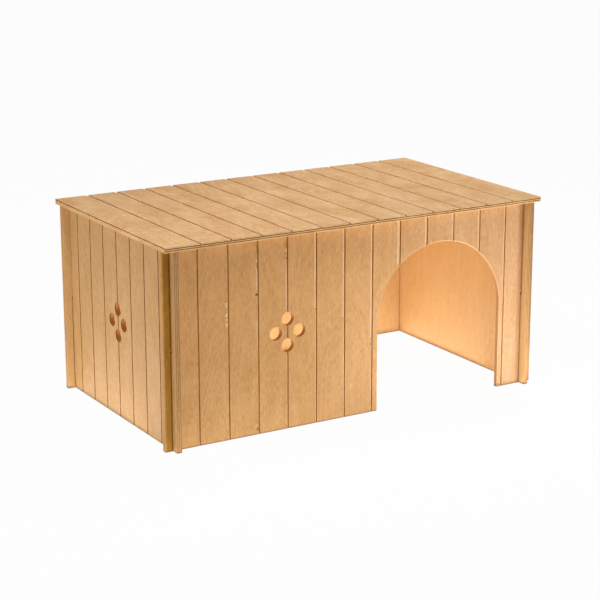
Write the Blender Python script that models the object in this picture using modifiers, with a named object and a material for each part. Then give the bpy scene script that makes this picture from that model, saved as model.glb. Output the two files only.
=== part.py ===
"""Rabbit house of grooved birch plywood.

Four wall panels cross at the corners in half-height slots, so their ends stand past each other as short tails.
The roof panel lies loose on the walls. Two battens under it, held by small countersunk screws, drop inside the
front and back walls and keep it in place. The house is open at the bottom and has no fixed floor.

Metres, +Z up. The origin is on the floor under the middle of the roof, +X runs along the front to the right as
seen from outside, and the front wall, with the arched doorway, faces -Y.
"""

import math

import bmesh
import bpy
from mathutils import Matrix, Vector

# Roof
ROOF_LENGTH = 0.530
ROOF_DEPTH = 0.306
ROOF_THICKNESS = 0.0065
ROOF_OVERHANG = 0.001

# Walls
WALL_HEIGHT = 0.2395
WALL_THICKNESS = 0.0065
TAIL_LENGTH = 0.010
SLOT_CLEARANCE = 0.0005
SLOT_END_GAP = 0.002

# Grooves that divide each panel into boards
GROOVE_WIDTH = 0.002
GROOVE_DEPTH = 0.0015
LONG_GROOVES = 12
LONG_END_BOARD = 0.045
SIDE_GROOVES = 7
SIDE_END_BOARD = 0.0405

# Doorway: the board that it is centred on, counted from 0 at the left, its width, and the wood left over it
DOOR_BOARD = 9
DOOR_WIDTH = 0.184
DOOR_HEAD = 0.0355
DOOR_ARC_STEPS = 48

# Vents: four round holes about one groove, counted from 0 at the left
VENT_RADIUS = 0.009
VENT_OFFSET = 0.0165
VENT_SIDES = 40
FRONT_VENT_GROOVE = 3
SIDE_VENT_GROOVE = 3

# Roof battens
BATTEN_WIDTH = 0.018
BATTEN_HEIGHT = 0.012
BATTEN_CHAMFER = 0.001
BATTEN_WALL_CLEARANCE = 0.0015
BATTEN_END_CLEARANCE = 0.002

# Countersunk screws that hold a batten to the roof, placed as shares of the batten's half length
SCREW_RADIUS = 0.0015
SCREW_HEAD_RADIUS = 0.0029
SCREW_HEAD_HEIGHT = 0.0016
SCREW_HEAD_RIM = 0.0003
SCREW_HEAD_SINK = 0.0003
SCREW_POINT_LENGTH = 0.0024
SCREW_COVER = 0.0022
SCREW_SIDES = 20
SCREW_PLACE_SHARES = (-0.815, -0.326, 0.326, 0.815)
RECESS_WIDTH = 0.0007
RECESS_SPAN = 0.0032
RECESS_DEPTH = 0.0010

# Gap between faces that touch, how far a cut runs past the wood, and how near two points count as one
FIT_GAP = 0.0003
CUT_OVERRUN = 0.005
WELD_DISTANCE = 0.00002

# Faces that meet at less than this angle are shaded as one
SMOOTH_ANGLE = math.radians(30)

# Places that follow from the sizes above
END_X = ROOF_LENGTH / 2 - ROOF_OVERHANG
END_Y = ROOF_DEPTH / 2 - ROOF_OVERHANG
SIDE_FACE_X = END_X - TAIL_LENGTH
FRONT_FACE_Y = END_Y - TAIL_LENGTH
INNER_X = SIDE_FACE_X - WALL_THICKNESS
INNER_Y = FRONT_FACE_Y - WALL_THICKNESS
LAP_HEIGHT = WALL_HEIGHT / 2
ROOF_UNDERSIDE = WALL_HEIGHT + FIT_GAP
ROOF_TOP = ROOF_UNDERSIDE + ROOF_THICKNESS
LONG_PITCH = (ROOF_LENGTH - 2 * LONG_END_BOARD) / (LONG_GROOVES - 1)
SIDE_PITCH = (ROOF_DEPTH - 2 * SIDE_END_BOARD) / (SIDE_GROOVES - 1)
BATTEN_TOP = ROOF_UNDERSIDE - FIT_GAP
BATTEN_BOTTOM = BATTEN_TOP - BATTEN_HEIGHT
BATTEN_HALF_LENGTH = INNER_X - BATTEN_END_CLEARANCE
BATTEN_Y = INNER_Y - BATTEN_WALL_CLEARANCE - BATTEN_WIDTH / 2
SCREW_BOTTOM = BATTEN_BOTTOM + SCREW_HEAD_SINK
SCREW_LENGTH = ROOF_TOP - SCREW_COVER - SCREW_BOTTOM

# Colours of the woods and the screws, linear, with roughness
FRONT_COLOUR = (0.610, 0.330, 0.135)
SIDE_COLOUR = (0.640, 0.390, 0.190)
ROOF_COLOUR = (0.730, 0.460, 0.235)
BATTEN_COLOUR = (0.720, 0.500, 0.270)
SCREW_COLOUR = (0.560, 0.540, 0.500)
WOOD_ROUGHNESS = 0.55
SCREW_ROUGHNESS = 0.35


def clear_scene():
    for thing in list(bpy.data.objects):
        bpy.data.objects.remove(thing)


def new_collection(name):
    collection = bpy.data.collections.new(name)
    bpy.context.scene.collection.children.link(collection)
    return collection


def new_material(name, colour, roughness, metallic=0.0):
    material = bpy.data.materials.new(name)
    material.use_nodes = True
    material.diffuse_color = (*colour, 1.0)
    shader = material.node_tree.nodes["Principled BSDF"]
    shader.inputs["Base Color"].default_value = (*colour, 1.0)
    shader.inputs["Roughness"].default_value = roughness
    shader.inputs["Metallic"].default_value = metallic
    return material


def object_from(shape, name, collection, material=None):
    """Turns a bmesh into an object of its own."""
    mesh = bpy.data.meshes.new(name)
    shape.to_mesh(mesh)
    shape.free()
    thing = bpy.data.objects.new(name, mesh)
    if material is not None:
        mesh.materials.append(material)
    collection.objects.link(thing)
    return thing


def add_box(shape, low, high):
    """Adds a box between two opposite corners."""
    low = Vector(low)
    high = Vector(high)
    place = Matrix.Translation((low + high) / 2) @ Matrix.Diagonal((*(high - low), 1.0))
    bmesh.ops.create_cube(shape, size=1.0, matrix=place)


def as_cutter(thing, owner):
    """Makes an object a cutter that stays with the piece that it cuts, and subtracts it."""
    thing.parent = owner
    thing.hide_render = True
    thing.display_type = "WIRE"
    cut(owner, thing)


def cut(thing, cutter):
    modifier = thing.modifiers.new("cut_" + cutter.name, "BOOLEAN")
    modifier.operation = "DIFFERENCE"
    modifier.solver = "EXACT"
    modifier.object = cutter


def groove_place(index, count, pitch):
    """How far groove number index lies from the middle of its panel."""
    return (index - (count - 1) / 2) * pitch


def mesh_from_curve(curve_object, collection):
    """Replaces a filled, extruded curve by a mesh whose caps are welded to its sides."""
    name = curve_object.name
    bpy.context.view_layer.update()
    evaluated = curve_object.evaluated_get(bpy.context.evaluated_depsgraph_get())
    mesh = bpy.data.meshes.new_from_object(evaluated)
    place = curve_object.matrix_world.copy()
    bpy.data.objects.remove(curve_object)
    shape = bmesh.new()
    shape.from_mesh(mesh)
    bmesh.ops.remove_doubles(shape, verts=shape.verts, dist=WELD_DISTANCE)
    bpy.data.meshes.remove(mesh)
    thing = object_from(shape, name, collection)
    thing.matrix_world = place
    return thing


def flat_outline(name, points, half_thickness, collection):
    """A closed flat outline, given in its own X and Y, extruded both ways along its own Z."""
    curve = bpy.data.curves.new(name, "CURVE")
    curve.dimensions = "2D"
    curve.fill_mode = "BOTH"
    curve.extrude = half_thickness
    spline = curve.splines.new("POLY")
    spline.points.add(len(points) - 1)
    for point, (x, y) in zip(spline.points, points):
        point.co = (x, y, 0.0, 1.0)
    spline.use_cyclic_u = True
    thing = bpy.data.objects.new(name, curve)
    collection.objects.link(thing)
    return thing


def door_outline():
    """The doorway from below the floor, up one jamb, round the half circle and down the other jamb."""
    radius = DOOR_WIDTH / 2
    spring = WALL_HEIGHT - DOOR_HEAD - radius
    middle = groove_place(DOOR_BOARD - 0.5, LONG_GROOVES, LONG_PITCH)
    points = [(middle + radius, -CUT_OVERRUN)]
    for step in range(DOOR_ARC_STEPS + 1):
        angle = math.pi * step / DOOR_ARC_STEPS
        points.append((middle + radius * math.cos(angle), spring + radius * math.sin(angle)))
    points.append((middle - radius, -CUT_OVERRUN))
    return points


def cut_door(panel, cutters):
    """Cuts the doorway through a panel that stands in its own X and Z."""
    half = WALL_THICKNESS / 2 + CUT_OVERRUN
    outline = flat_outline("cut_door", door_outline(), half, cutters)
    outline.location = (0.0, WALL_THICKNESS / 2, 0.0)
    outline.rotation_euler = (math.pi / 2, 0.0, 0.0)
    as_cutter(mesh_from_curve(outline, cutters), panel)


def cut_slots(panel, cutters, slot_place, from_top):
    """Cuts the two half-height slots that the crossing walls stand in."""
    half = WALL_THICKNESS / 2 + SLOT_CLEARANCE
    if from_top:
        low = LAP_HEIGHT - SLOT_END_GAP / 2
        high = WALL_HEIGHT + CUT_OVERRUN
    else:
        low = -CUT_OVERRUN
        high = LAP_HEIGHT + SLOT_END_GAP / 2
    shape = bmesh.new()
    for side in (-1, 1):
        middle = side * slot_place
        add_box(
            shape,
            (middle - half, -CUT_OVERRUN, low),
            (middle + half, WALL_THICKNESS + CUT_OVERRUN, high),
        )
    as_cutter(object_from(shape, "cut_slots_" + panel.name, cutters), panel)


def cut_vents(panel, cutters, middle):
    """Cuts four round holes in a diamond, at half the wall's height."""
    depth = WALL_THICKNESS + 2 * CUT_OVERRUN
    shape = bmesh.new()
    for across, up in ((-1, 0), (1, 0), (0, -1), (0, 1)):
        centre = (middle + across * VENT_OFFSET, WALL_THICKNESS / 2, LAP_HEIGHT + up * VENT_OFFSET)
        bmesh.ops.create_cone(
            shape,
            cap_ends=True,
            segments=VENT_SIDES,
            radius1=VENT_RADIUS,
            radius2=VENT_RADIUS,
            depth=depth,
            matrix=Matrix.Translation(centre) @ Matrix.Rotation(math.pi / 2, 4, "X"),
        )
    as_cutter(object_from(shape, "cut_vents_" + panel.name, cutters), panel)


def cut_wall_grooves(panel, cutters, count, pitch):
    """Cuts the upright grooves into a wall's outer face."""
    shape = bmesh.new()
    for index in range(count):
        middle = groove_place(index, count, pitch)
        add_box(
            shape,
            (middle - GROOVE_WIDTH / 2, -CUT_OVERRUN, -CUT_OVERRUN),
            (middle + GROOVE_WIDTH / 2, GROOVE_DEPTH, WALL_HEIGHT + CUT_OVERRUN),
        )
    as_cutter(object_from(shape, "cut_grooves_" + panel.name, cutters), panel)


def make_wall(name, house, cutters, material, half_length, slot_place, from_top, count, pitch):
    """A wall panel that stands in its own X and Z with its grooved outer face at Y 0."""
    shape = bmesh.new()
    add_box(shape, (-half_length, 0.0, 0.0), (half_length, WALL_THICKNESS, WALL_HEIGHT))
    panel = object_from(shape, name, house, material)
    cut_slots(panel, cutters, slot_place, from_top)
    cut_wall_grooves(panel, cutters, count, pitch)
    return panel


def make_long_wall(name, house, cutters, material):
    """The front or back wall, slotted from below."""
    slot_place = SIDE_FACE_X - WALL_THICKNESS / 2
    return make_wall(name, house, cutters, material, END_X, slot_place, False, LONG_GROOVES, LONG_PITCH)


def make_side_wall(name, house, cutters, material):
    """A side wall, slotted from above."""
    slot_place = FRONT_FACE_Y - WALL_THICKNESS / 2
    return make_wall(name, house, cutters, material, END_Y, slot_place, True, SIDE_GROOVES, SIDE_PITCH)


def stand(panel, location, turn):
    """Puts a wall in its place, turned about the upright axis."""
    panel.location = location
    panel.rotation_euler = (0.0, 0.0, turn)


def make_walls(house, cutters):
    front_wood = new_material("front_birch", FRONT_COLOUR, WOOD_ROUGHNESS)
    side_wood = new_material("side_birch", SIDE_COLOUR, WOOD_ROUGHNESS)
    front = make_long_wall("front_panel", house, cutters, front_wood)
    cut_door(front, cutters)
    cut_vents(front, cutters, groove_place(FRONT_VENT_GROOVE, LONG_GROOVES, LONG_PITCH))
    stand(front, (0.0, -FRONT_FACE_Y, 0.0), 0.0)
    back = make_long_wall("back_panel", house, cutters, front_wood)
    stand(back, (0.0, FRONT_FACE_Y, 0.0), math.pi)
    left = make_side_wall("left_side_panel", house, cutters, side_wood)
    cut_vents(left, cutters, groove_place(SIDE_VENT_GROOVE, SIDE_GROOVES, SIDE_PITCH))
    stand(left, (-SIDE_FACE_X, 0.0, 0.0), -math.pi / 2)
    right = make_side_wall("right_side_panel", house, cutters, side_wood)
    stand(right, (SIDE_FACE_X, 0.0, 0.0), math.pi / 2)


def screw_profile(grow, bottom):
    """Half of a countersunk screw in X and Z, point up, with the flat of its head at Z 0."""
    return [
        (0.0, SCREW_LENGTH + grow),
        (SCREW_RADIUS + grow, SCREW_LENGTH - SCREW_POINT_LENGTH + grow),
        (SCREW_RADIUS + grow, SCREW_HEAD_HEIGHT),
        (SCREW_HEAD_RADIUS + grow, SCREW_HEAD_RIM),
        (SCREW_HEAD_RADIUS + grow, bottom),
        (0.0, bottom),
    ]


def turned(name, profile, collection):
    """Turns a profile about its own Z into a closed solid."""
    shape = bmesh.new()
    corners = [shape.verts.new((x, 0.0, z)) for x, z in profile]
    for upper, lower in zip(corners, corners[1:]):
        shape.edges.new((upper, lower))
    thing = object_from(shape, name, collection)
    screw = thing.modifiers.new("turn", "SCREW")
    screw.steps = SCREW_SIDES
    screw.render_steps = SCREW_SIDES
    screw.use_merge_vertices = True
    screw.merge_threshold = WELD_DISTANCE
    return thing


def finished_mesh(master):
    """The master's mesh with its modifiers applied. The master is removed."""
    bpy.context.view_layer.update()
    mesh = bpy.data.meshes.new_from_object(master.evaluated_get(bpy.context.evaluated_depsgraph_get()))
    bpy.data.objects.remove(master)
    return mesh


def recess_outline():
    """A cross of two equal bars, corner by corner."""
    bar = RECESS_WIDTH / 2
    reach = RECESS_SPAN / 2
    quarter = [(reach, -bar), (reach, bar), (bar, bar)]
    points = []
    for turn in range(4):
        spin = Matrix.Rotation(turn * math.pi / 2, 2)
        points.extend(tuple(spin @ Vector(corner)) for corner in quarter)
    return points


def screw_mesh(cutters, material):
    """The mesh that all screws share, with a cross recess in its head."""
    screw = turned("screw_blank", screw_profile(0.0, 0.0), cutters)
    half = (RECESS_DEPTH + CUT_OVERRUN) / 2
    recess = flat_outline("recess", recess_outline(), half, cutters)
    recess.location = (0.0, 0.0, RECESS_DEPTH - half)
    recess = mesh_from_curve(recess, cutters)
    cut(screw, recess)
    mesh = finished_mesh(screw)
    bpy.data.objects.remove(recess)
    mesh.materials.clear()
    mesh.materials.append(material)
    mesh.shade_smooth()
    mesh.set_sharp_from_angle(angle=SMOOTH_ANGLE)
    return mesh


def make_screws(prefix, house, mesh, places):
    screws = []
    for number, place in enumerate(places, start=1):
        screw = bpy.data.objects.new(f"{prefix}_batten_screw_{number}", mesh)
        screw.location = place
        house.objects.link(screw)
        screws.append(screw)
    return screws


def screw_holes(name, cutters, places):
    """Cutter for the clearance holes in a batten and the pilot holes in the roof."""
    mesh = finished_mesh(turned("hole_blank", screw_profile(FIT_GAP, -CUT_OVERRUN), cutters))
    shape = bmesh.new()
    for place in places:
        before = len(shape.verts)
        shape.from_mesh(mesh)
        shape.verts.ensure_lookup_table()
        bmesh.ops.translate(shape, vec=place, verts=shape.verts[before:])
    bpy.data.meshes.remove(mesh)
    holes = object_from(shape, name, cutters)
    holes.hide_render = True
    holes.display_type = "WIRE"
    return holes


def make_batten(name, house, material, y):
    shape = bmesh.new()
    half = BATTEN_WIDTH / 2
    add_box(
        shape,
        (-BATTEN_HALF_LENGTH, y - half, BATTEN_BOTTOM),
        (BATTEN_HALF_LENGTH, y + half, BATTEN_TOP),
    )
    batten = object_from(shape, name, house, material)
    chamfer = batten.modifiers.new("chamfer", "BEVEL")
    chamfer.width = BATTEN_CHAMFER
    chamfer.segments = 1
    chamfer.limit_method = "ANGLE"
    return batten


def make_roof_panel(house, cutters, material):
    shape = bmesh.new()
    half_length = ROOF_LENGTH / 2
    half_depth = ROOF_DEPTH / 2
    add_box(shape, (-half_length, -half_depth, ROOF_UNDERSIDE), (half_length, half_depth, ROOF_TOP))
    roof = object_from(shape, "roof_panel", house, material)
    grooves = bmesh.new()
    for index in range(LONG_GROOVES):
        middle = groove_place(index, LONG_GROOVES, LONG_PITCH)
        add_box(
            grooves,
            (middle - GROOVE_WIDTH / 2, -half_depth - CUT_OVERRUN, ROOF_TOP - GROOVE_DEPTH),
            (middle + GROOVE_WIDTH / 2, half_depth + CUT_OVERRUN, ROOF_TOP + CUT_OVERRUN),
        )
    as_cutter(object_from(grooves, "cut_grooves_roof_panel", cutters), roof)
    return roof


def make_roof(house, cutters):
    """The roof with its battens and screws, all carried by one empty on the line along which it lifts off."""
    roof_wood = new_material("roof_birch", ROOF_COLOUR, WOOD_ROUGHNESS)
    batten_wood = new_material("batten_wood", BATTEN_COLOUR, WOOD_ROUGHNESS)
    steel = new_material("zinc_plated_steel", SCREW_COLOUR, SCREW_ROUGHNESS, metallic=1.0)
    roof = make_roof_panel(house, cutters, roof_wood)
    pieces = [roof]
    screw = screw_mesh(cutters, steel)
    for prefix, side in (("front", -1), ("rear", 1)):
        y = side * BATTEN_Y
        places = [(share * BATTEN_HALF_LENGTH, y, SCREW_BOTTOM) for share in SCREW_PLACE_SHARES]
        batten = make_batten(prefix + "_roof_batten", house, batten_wood, y)
        holes = screw_holes("holes_" + prefix, cutters, places)
        cut(batten, holes)
        cut(roof, holes)
        pieces.extend((batten, holes))
        pieces.extend(make_screws(prefix, house, screw, places))
    lift = bpy.data.objects.new("roof_lift_axis", None)
    lift.location = (0.0, 0.0, ROOF_UNDERSIDE)
    house.objects.link(lift)
    bpy.context.view_layer.update()
    for piece in pieces:
        piece.parent = lift
        piece.matrix_parent_inverse = lift.matrix_world.inverted()


def main():
    clear_scene()
    house = new_collection("rabbit_house")
    cutters = new_collection("cutters")
    make_walls(house, cutters)
    make_roof(house, cutters)


main()
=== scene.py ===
"""Rabbit house of grooved birch plywood: its finished pieces, their woods and steel, and a plain studio.

Every panel is modelled in its own frame and then set in its place. There x runs along the row of boards, y
into the sheet from its outer face, and z along the grain. Metres, +Z up.
"""

import math
import random
from contextlib import contextmanager
from itertools import product

import bmesh
import bpy
from bpy.props import FloatProperty, FloatVectorProperty, IntProperty, PointerProperty
from mathutils import Euler, Matrix, Vector


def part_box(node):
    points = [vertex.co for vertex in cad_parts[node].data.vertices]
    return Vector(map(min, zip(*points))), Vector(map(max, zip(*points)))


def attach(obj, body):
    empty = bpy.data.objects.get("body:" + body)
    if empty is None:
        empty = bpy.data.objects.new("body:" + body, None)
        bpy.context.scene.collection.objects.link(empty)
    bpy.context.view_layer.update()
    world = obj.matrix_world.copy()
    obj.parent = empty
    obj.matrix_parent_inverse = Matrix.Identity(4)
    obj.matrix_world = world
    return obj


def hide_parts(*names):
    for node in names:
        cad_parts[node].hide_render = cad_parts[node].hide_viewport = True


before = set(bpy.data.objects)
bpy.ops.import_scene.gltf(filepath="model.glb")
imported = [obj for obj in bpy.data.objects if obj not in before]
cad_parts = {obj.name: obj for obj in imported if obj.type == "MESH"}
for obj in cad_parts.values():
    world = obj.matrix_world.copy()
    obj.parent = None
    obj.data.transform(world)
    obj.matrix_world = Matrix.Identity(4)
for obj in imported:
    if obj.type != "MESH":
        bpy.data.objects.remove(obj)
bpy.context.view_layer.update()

bl_info = {
    "name": "Grooved Rabbit House",
    "version": (1, 0, 0),
    "blender": (4, 5, 0),
    "location": "3D View > Sidebar > Rabbit House",
    "description": "Models and finishes a flat-pack rabbit house of grooved birch plywood",
    "category": "Add Mesh",
}

MM = 0.001
PER_METRE = 1000.0
FULL_TURN = 2.0 * math.pi
QUARTER = math.pi / 2
OVERRUN = 5 * MM
TOUCH = 0.01 * MM
MERGE_REACH = 0.002 * MM
NEARLY_ALL = 0.99
SMOOTH_ANGLE = math.radians(7)
TURNED_SMOOTH_ANGLE = math.radians(30)
WHITE = (1.0, 1.0, 1.0, 1.0)

# Fineness of the shapes: sides of what is round, cuts along a groove or chip, rings of a screw's thread
VENT_SIDES = 64
DOOR_SIDES = 128
BORE_SIDES = 32
SCREW_SIDES = 24
GROOVE_CUTS = 40
CHIP_STEP = 1.5
LEAST_CHIP_CUTS = 3
THREAD_RINGS = 84

# Chips torn out left of the front's grooves: groove counted from 0, low end, length and width in millimetres
TORN_CHIPS = (
    (1, 162.3, 6.0, 3.5),
    (1, 151.0, 4.6, 3.2),
    (1, 145.6, 3.6, 2.6),
    (1, 138.9, 5.4, 3.3),
    (2, 211.4, 3.6, 2.2),
    (2, 198.0, 6.4, 1.9),
    (3, 218.9, 3.6, 1.9),
    (3, 213.2, 1.6, 1.7),
    (3, 207.9, 1.4, 1.8),
    (4, 141.6, 1.2, 1.9),
)

# Edges worn to the paler wood left of the front's grooves: groove, low end, length and width in millimetres
WORN_EDGES = (
    (1, 96.0, 34.0, 0.7),
    (2, 178.0, 20.0, 1.5),
    (2, 111.0, 31.0, 1.3),
    (3, 147.0, 59.8, 1.5),
    (3, 4.0, 88.0, 0.8),
    (4, 145.0, 94.5, 2.0),
    (4, 0.0, 137.0, 1.0),
    (5, 128.0, 111.5, 2.1),
    (5, 0.0, 124.0, 1.0),
    (6, 96.0, 143.5, 2.1),
    (6, 0.0, 90.0, 0.8),
    (7, 184.0, 55.5, 3.6),
    (8, 204.0, 35.5, 2.9),
    (9, 204.0, 35.5, 2.4),
    (10, 184.0, 55.5, 2.3),
    (11, 110.0, 129.5, 1.7),
    (11, 0.0, 106.0, 0.9),
)

# Strips of old glue and filler left of the front's grooves: groove, low end, length and width in millimetres
FILLED_STRIPS = (
    (2, 204.8, 6.0, 1.3),
    (2, 222.0, 17.0, 1.6),
    (3, 223.7, 15.5, 1.7),
    (3, 209.6, 3.4, 1.3),
)

# Pin knot marks and blemishes of the front's veneer, and in the last two entries painted shade: dark dots
# where the slots' ends leave a gap at half height. Each gives its place along the row, height, the mark's
# width and height in millimetres, and how dark it is
FRONT_KNOTS_AND_GAP_SHADE = (
    (-140.9, 172.8, 3.1, 1.5, 0.95),
    (17.6, 87.9, 1.1, 1.5, 0.8),
    (-60.5, 143.6, 1.1, 1.4, 0.7),
    (-141.6, 7.0, 1.6, 2.6, 0.7),
    (-192.3, 157.0, 0.6, 1.6, 0.45),
    (213.6, 3.4, 1.6, 1.1, 0.9),
    # Painted shade: these two are dark dots in the gaps at the slots' ends, not a knot
    (246.2, 119.8, 1.4, 2.2, 0.95),
    (-255.1, 119.8, 0.9, 1.8, 0.95),
)


# Helpers for modelling

def only(piece):
    """Makes one piece the selected and active one."""
    bpy.ops.object.select_all(action="DESELECT")
    piece.select_set(True)
    bpy.context.view_layer.objects.active = piece


def settle(piece):
    """Moves a piece's place, turn and size into its mesh."""
    only(piece)
    bpy.ops.object.transform_apply(location=True, rotation=True, scale=True)


def take_primitive(name, material=None):
    """Names the primitive that was just added, settles it and gives it a material."""
    piece = bpy.context.object
    piece.name = name
    piece.data.name = name
    settle(piece)
    if material:
        piece.data.materials.append(material)
    return piece


def block(name, low, high, material):
    """A box between two opposite corners, as a start for a piece or a cutter."""
    bpy.ops.object.select_all(action="DESELECT")
    middle = (Vector(low) + Vector(high)) / 2
    bpy.ops.mesh.primitive_cube_add(size=1.0, location=middle, scale=Vector(high) - Vector(low))
    return take_primitive(name, material)


def rod(name, centre, radius, length, sides, material, turn=(0.0, 0.0, 0.0), tip_radius=None):
    """A round bar, or a cone when its tip has a radius of its own."""
    bpy.ops.object.select_all(action="DESELECT")
    bpy.ops.mesh.primitive_cone_add(
        vertices=sides,
        radius1=radius,
        radius2=radius if tip_radius is None else tip_radius,
        depth=length,
        location=centre,
        rotation=turn,
    )
    return take_primitive(name, material)


@contextmanager
def editing(piece):
    """Works on one piece in edit mode."""
    only(piece)
    bpy.ops.object.mode_set(mode="EDIT")
    yield
    bpy.ops.object.mode_set(mode="OBJECT")


@contextmanager
def picking(piece, mode):
    """Starts a new selection in edit mode and gives the mesh to mark it on."""
    bpy.ops.mesh.select_mode(type=mode)
    bpy.ops.mesh.select_all(action="DESELECT")
    shape = bmesh.from_edit_mesh(piece.data)
    yield shape
    shape.select_flush_mode()
    bmesh.update_edit_mesh(piece.data)


def pick_points(piece, test):
    """Selects, in edit mode, the points whose place passes a test."""
    with picking(piece, "VERT") as shape:
        for vertex in shape.verts:
            vertex.select = test(vertex.co)


def pick_faces(piece, test):
    """Selects, in edit mode, the faces whose points all pass a test."""
    with picking(piece, "FACE") as shape:
        for face in shape.faces:
            face.select = all(test(vertex.co) for vertex in face.verts)


def pick_edges_along(piece, axis):
    """Selects, in edit mode, the edges that run along one axis."""
    with picking(piece, "EDGE") as shape:
        for edge in shape.edges:
            span = edge.verts[1].co - edge.verts[0].co
            edge.select = abs(span[axis]) > NEARLY_ALL * span.length


def ring_cut(place, direction):
    """Cuts an edge loop through all of the piece in edit mode."""
    bpy.ops.mesh.select_all(action="SELECT")
    bpy.ops.mesh.bisect(plane_co=place, plane_no=direction)


def round_edges(piece, width, segments, axis=None):
    """Rounds every edge of a piece, or only those that run along one axis."""
    with editing(piece):
        if axis is None:
            bpy.ops.mesh.select_all(action="SELECT")
        else:
            pick_edges_along(piece, axis)
        bpy.ops.mesh.bevel(offset=width, segments=segments, affect="EDGES")


def cut(piece, cutter):
    """Cuts one piece with another, which is used up, and gives the cut faces the cutter's material."""
    modifier = piece.modifiers.new("cut", "BOOLEAN")
    modifier.operation = "DIFFERENCE"
    modifier.solver = "MANIFOLD"
    modifier.material_mode = "TRANSFER"
    modifier.object = cutter
    only(piece)
    bpy.ops.object.modifier_apply(modifier=modifier.name)
    bpy.data.objects.remove(cutter)


def merge_doubles(piece):
    """Merges the points that the cuts left on top of each other."""
    with editing(piece):
        bpy.ops.mesh.select_all(action="SELECT")
        bpy.ops.mesh.remove_doubles(threshold=MERGE_REACH)


def copied(piece, name, shift):
    """A copy of a piece with its own mesh, moved by a shift."""
    twin = piece.copy()
    twin.data = piece.data.copy()
    twin.name = name
    bpy.context.collection.objects.link(twin)
    twin.location = shift
    settle(twin)
    return twin


def joined(pieces):
    """Joins cutters that lie apart into one."""
    bpy.ops.object.select_all(action="DESELECT")
    for piece in pieces:
        piece.select_set(True)
    bpy.context.view_layer.objects.active = pieces[0]
    bpy.ops.object.join()
    return pieces[0]


def break_arris(tool, face_y, outward, width, centre, half_size, along_z=True):
    """Widens a cutter beyond one face of the sheet, so that its cut leaves a small chamfer there."""
    scale = (half_size + width) / half_size
    with editing(tool):
        for depth in (face_y - outward * width, face_y):
            ring_cut((0.0, depth, 0.0), (0.0, 1.0, 0.0))
        pick_points(tool, lambda point: (point.y - face_y) * outward > -TOUCH)
        bpy.ops.transform.resize(value=(scale, 1.0, scale if along_z else 1.0), center_override=centre)


def finish_piece(piece, body, node, smooth_angle=SMOOTH_ANGLE):
    """Shades a piece, makes it ride on its body and hides the node it stands for."""
    only(piece)
    bpy.ops.object.shade_smooth_by_angle(angle=smooth_angle)
    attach(piece, body)
    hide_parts(node)


# Shader maths

# Bump of bare wood: its strength and how high its fibres stand
WOOD_STRENGTH = 0.3
WOOD_RELIEF = 0.15 * MM


def maths(operation, reflected=False):
    """An operator of Wire: it adds a Math node, or a Vector Math node where a vector or colour takes part."""

    def add_node(self, other=0.0):
        sides = (other, self) if reflected else (self, other)
        vector = any(isinstance(side, Wire) and side.socket.type in {"VECTOR", "RGBA"} for side in sides)
        kind = "ShaderNodeVectorMath" if vector else "ShaderNodeMath"
        return self.surface.node(kind, {"operation": operation}, dict(enumerate(sides)))

    return add_node


class Wire:
    """A node's output that takes part in Python sums, each of which adds its node."""

    def __init__(self, surface, socket):
        self.surface = surface
        self.socket = socket

    __add__ = maths("ADD")
    __radd__ = maths("ADD", reflected=True)
    __sub__ = maths("SUBTRACT")
    __rsub__ = maths("SUBTRACT", reflected=True)
    __mul__ = maths("MULTIPLY")
    __rmul__ = maths("MULTIPLY", reflected=True)
    __truediv__ = maths("DIVIDE")
    __pow__ = maths("POWER")
    __abs__ = maths("ABSOLUTE")
    sine = maths("SINE")
    modulo = maths("FLOORED_MODULO")
    below = maths("LESS_THAN")
    at_least = maths("MAXIMUM")

    def rise(self, start, end):
        """A smooth step from 0 to 1 as the value goes from start to end."""
        return self.surface.node(
            "ShaderNodeMapRange",
            {"interpolation_type": "SMOOTHSTEP"},
            {"Value": self, "From Min": start, "From Max": end},
        )

    def fall(self, start, end):
        """A smooth step from 1 to 0."""
        return 1.0 - self.rise(start, end)

    def between(self, start, full, fade, end):
        """1 from full to fade, and 0 before the start and after the end."""
        return self.rise(start, full) * self.fall(fade, end)


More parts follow.
